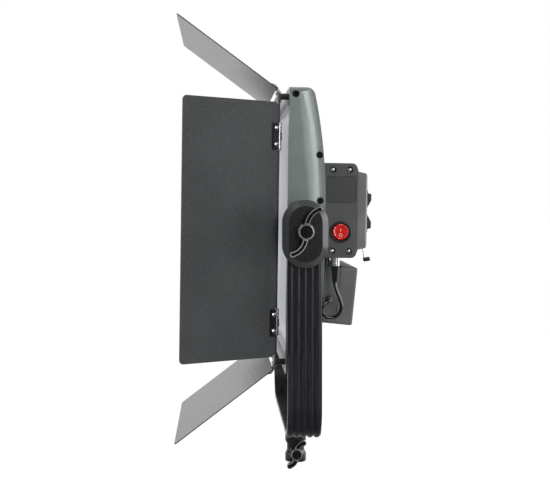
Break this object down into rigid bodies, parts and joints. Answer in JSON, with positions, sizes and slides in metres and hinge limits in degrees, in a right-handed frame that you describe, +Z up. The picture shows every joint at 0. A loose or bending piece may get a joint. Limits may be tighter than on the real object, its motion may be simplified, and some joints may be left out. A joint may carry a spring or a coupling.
{
  "type": "led panel light",
  "caption": "Square LED light head with hinged barn doors, a control box and mains adapter on its back, tilting in a ribbed U-shaped yoke with a stand socket.",
  "frame": {"origin": "centre of the mouth of the stand socket, on the socket's axis", "axes": "+Z up along the stand socket and the yoke's middle, -Y the way the light faces with its head upright, X across the light, along the tilt axis; +X is the side with the power switch"},
  "size_m": [0.4678, 0.2199, 0.5205],
  "materials": {
    "black_paint": "satin black powder coat",
    "leaf_paint": "fine satin black powder coat",
    "housing_paint": "grey-green metallic paint, satin",
    "black_plastic": "satin moulded black",
    "case_plastic": "fine-textured charcoal",
    "steel": "bright zinc-plated",
    "chrome": "polished",
    "aluminium": "plain",
    "diffuser": "glossy white opal",
    "board_white": "white solder mask",
    "led": "yellow phosphor",
    "board_green": "green solder mask",
    "red_plastic": "translucent red",
    "friction": "dark fibre",
    "cable_rubber": "soft black PVC"
  },
  "bodies": {
    "yoke": {"yoke": "black_paint", "left_pivot_cover": "black_plastic", "right_pivot_cover": "black_plastic", "stand_receiver": "black_paint", "yoke_bolt": "steel"},
    "left_lock": {"left_tilt_lever": "black_plastic", "left_tilt_stud": "steel"},
    "right_lock": {"right_tilt_lever": "black_plastic", "right_tilt_stud": "steel"},
    "stand_lock": {"stand_lever": "black_plastic", "stand_lever_screw": "steel"},
    "head": {"rear_shell": "housing_paint", "left_end_cap": "housing_paint", "right_end_cap": "housing_paint", "screw_plugs": "black_plastic", "pivot_inserts": "steel", "friction_washers": "friction", "front_bezel": "aluminium", "diffuser": "diffuser", "led_board": "board_white", "leds": "led", "heat_spreader": "aluminium", "control_box": "case_plastic", "left_side_cover": "case_plastic", "right_side_cover": "case_plastic", "side_cover_screws": "steel", "rear_cover": "case_plastic", "circuit_board": "board_green", "power_switch_body": "black_plastic", "rear_switch_bodies": "black_plastic", "dc_socket": "chrome", "fuse_cap": "black_plastic", "brick_base": "case_plastic", "brick_lid": "case_plastic", "brick_cradle": "black_paint", "ac_inlet": "black_plastic", "dc_lead": "cable_rubber", "plug_boot": "cable_rubber", "plug_ring": "chrome", "barn_frame": "black_paint", "frame_posts": "black_paint", "frame_hinges": "black_paint", "hinge_pins": "steel"},
    "power_rocker": {"power_rocker": "red_plastic"},
    "upper_rear_rocker": {"upper_rear_rocker": "black_plastic"},
    "lower_rear_rocker": {"lower_rear_rocker": "black_plastic"},
    "release_lever": {"release_lever": "steel", "release_tab": "black_plastic"},
    "top_door": {"top_leaf": "leaf_paint", "top_leaf_hinges": "black_paint", "top_leaf_screws": "steel"},
    "bottom_door": {"bottom_leaf": "leaf_paint", "bottom_leaf_hinges": "black_paint", "bottom_leaf_screws": "steel"},
    "left_door": {"left_leaf": "leaf_paint", "left_leaf_hinges": "black_paint", "left_leaf_screws": "steel"},
    "right_door": {"right_leaf": "leaf_paint", "right_leaf_hinges": "black_paint", "right_leaf_screws": "steel"}
  },
  "joints": [
    {"name": "head_tilt", "type": "hinge", "parent": "yoke", "child": "head", "pos_m": [0, 0, 0.28], "axis": [-1, 0, 0], "range_deg": [-5.5, 89]},
    {"name": "left_lock", "type": "hinge", "parent": "yoke", "child": "left_lock", "pos_m": [0.185, 0, 0.28], "axis": [1, 0, 0], "range_deg": [-90, 90]},
    {"name": "right_lock", "type": "hinge", "parent": "yoke", "child": "right_lock", "pos_m": [-0.185, 0, 0.28], "axis": [-1, 0, 0], "range_deg": [-90, 90]},
    {"name": "stand_lock", "type": "hinge", "parent": "yoke", "child": "stand_lock", "pos_m": [0.016, 0, 0.0115], "axis": [1, 0, 0], "range_deg": [-90, 90]},
    {"name": "top_door", "type": "hinge", "parent": "head", "child": "top_door", "pos_m": [0, -0.02736, 0.43142], "axis": [-1, 0, 0], "range_deg": [-125.7, 44.3]},
    {"name": "bottom_door", "type": "hinge", "parent": "head", "child": "bottom_door", "pos_m": [0, -0.0318, 0.13185], "axis": [1, 0, 0], "range_deg": [-128, 42]},
    {"name": "left_door", "type": "hinge", "parent": "head", "child": "left_door", "pos_m": [0.155, -0.02958, 0.28164], "axis": [0, 0.0148, 0.9999], "range_deg": [-126.5, 3]},
    {"name": "right_door", "type": "hinge", "parent": "head", "child": "right_door", "pos_m": [-0.155, -0.02958, 0.28164], "axis": [0, -0.0148, -0.9999], "range_deg": [-126.5, 3]},
    {"name": "power_rocker", "type": "hinge", "parent": "head", "child": "power_rocker", "pos_m": [0.116, 0.04278, 0.27816], "axis": [0, 0.9999, -0.0148], "range_deg": [0, 16]},
    {"name": "upper_rear_rocker", "type": "hinge", "parent": "head", "child": "upper_rear_rocker", "pos_m": [0.0978, 0.07193, 0.31494], "axis": [1, 0, 0], "range_deg": [0, 28]},
    {"name": "lower_rear_rocker", "type": "hinge", "parent": "head", "child": "lower_rear_rocker", "pos_m": [0.0978, 0.07152, 0.28754], "axis": [-1, 0, 0], "range_deg": [0, 28]},
    {"name": "release_lever", "type": "hinge", "parent": "head", "child": "release_lever", "pos_m": [0.096, 0.06964, 0.26197], "axis": [1, 0, 0], "range_deg": [0, 12], "stiffness_Nm_per_rad": 0.01, "springref_deg": -5.73}
  ]
}
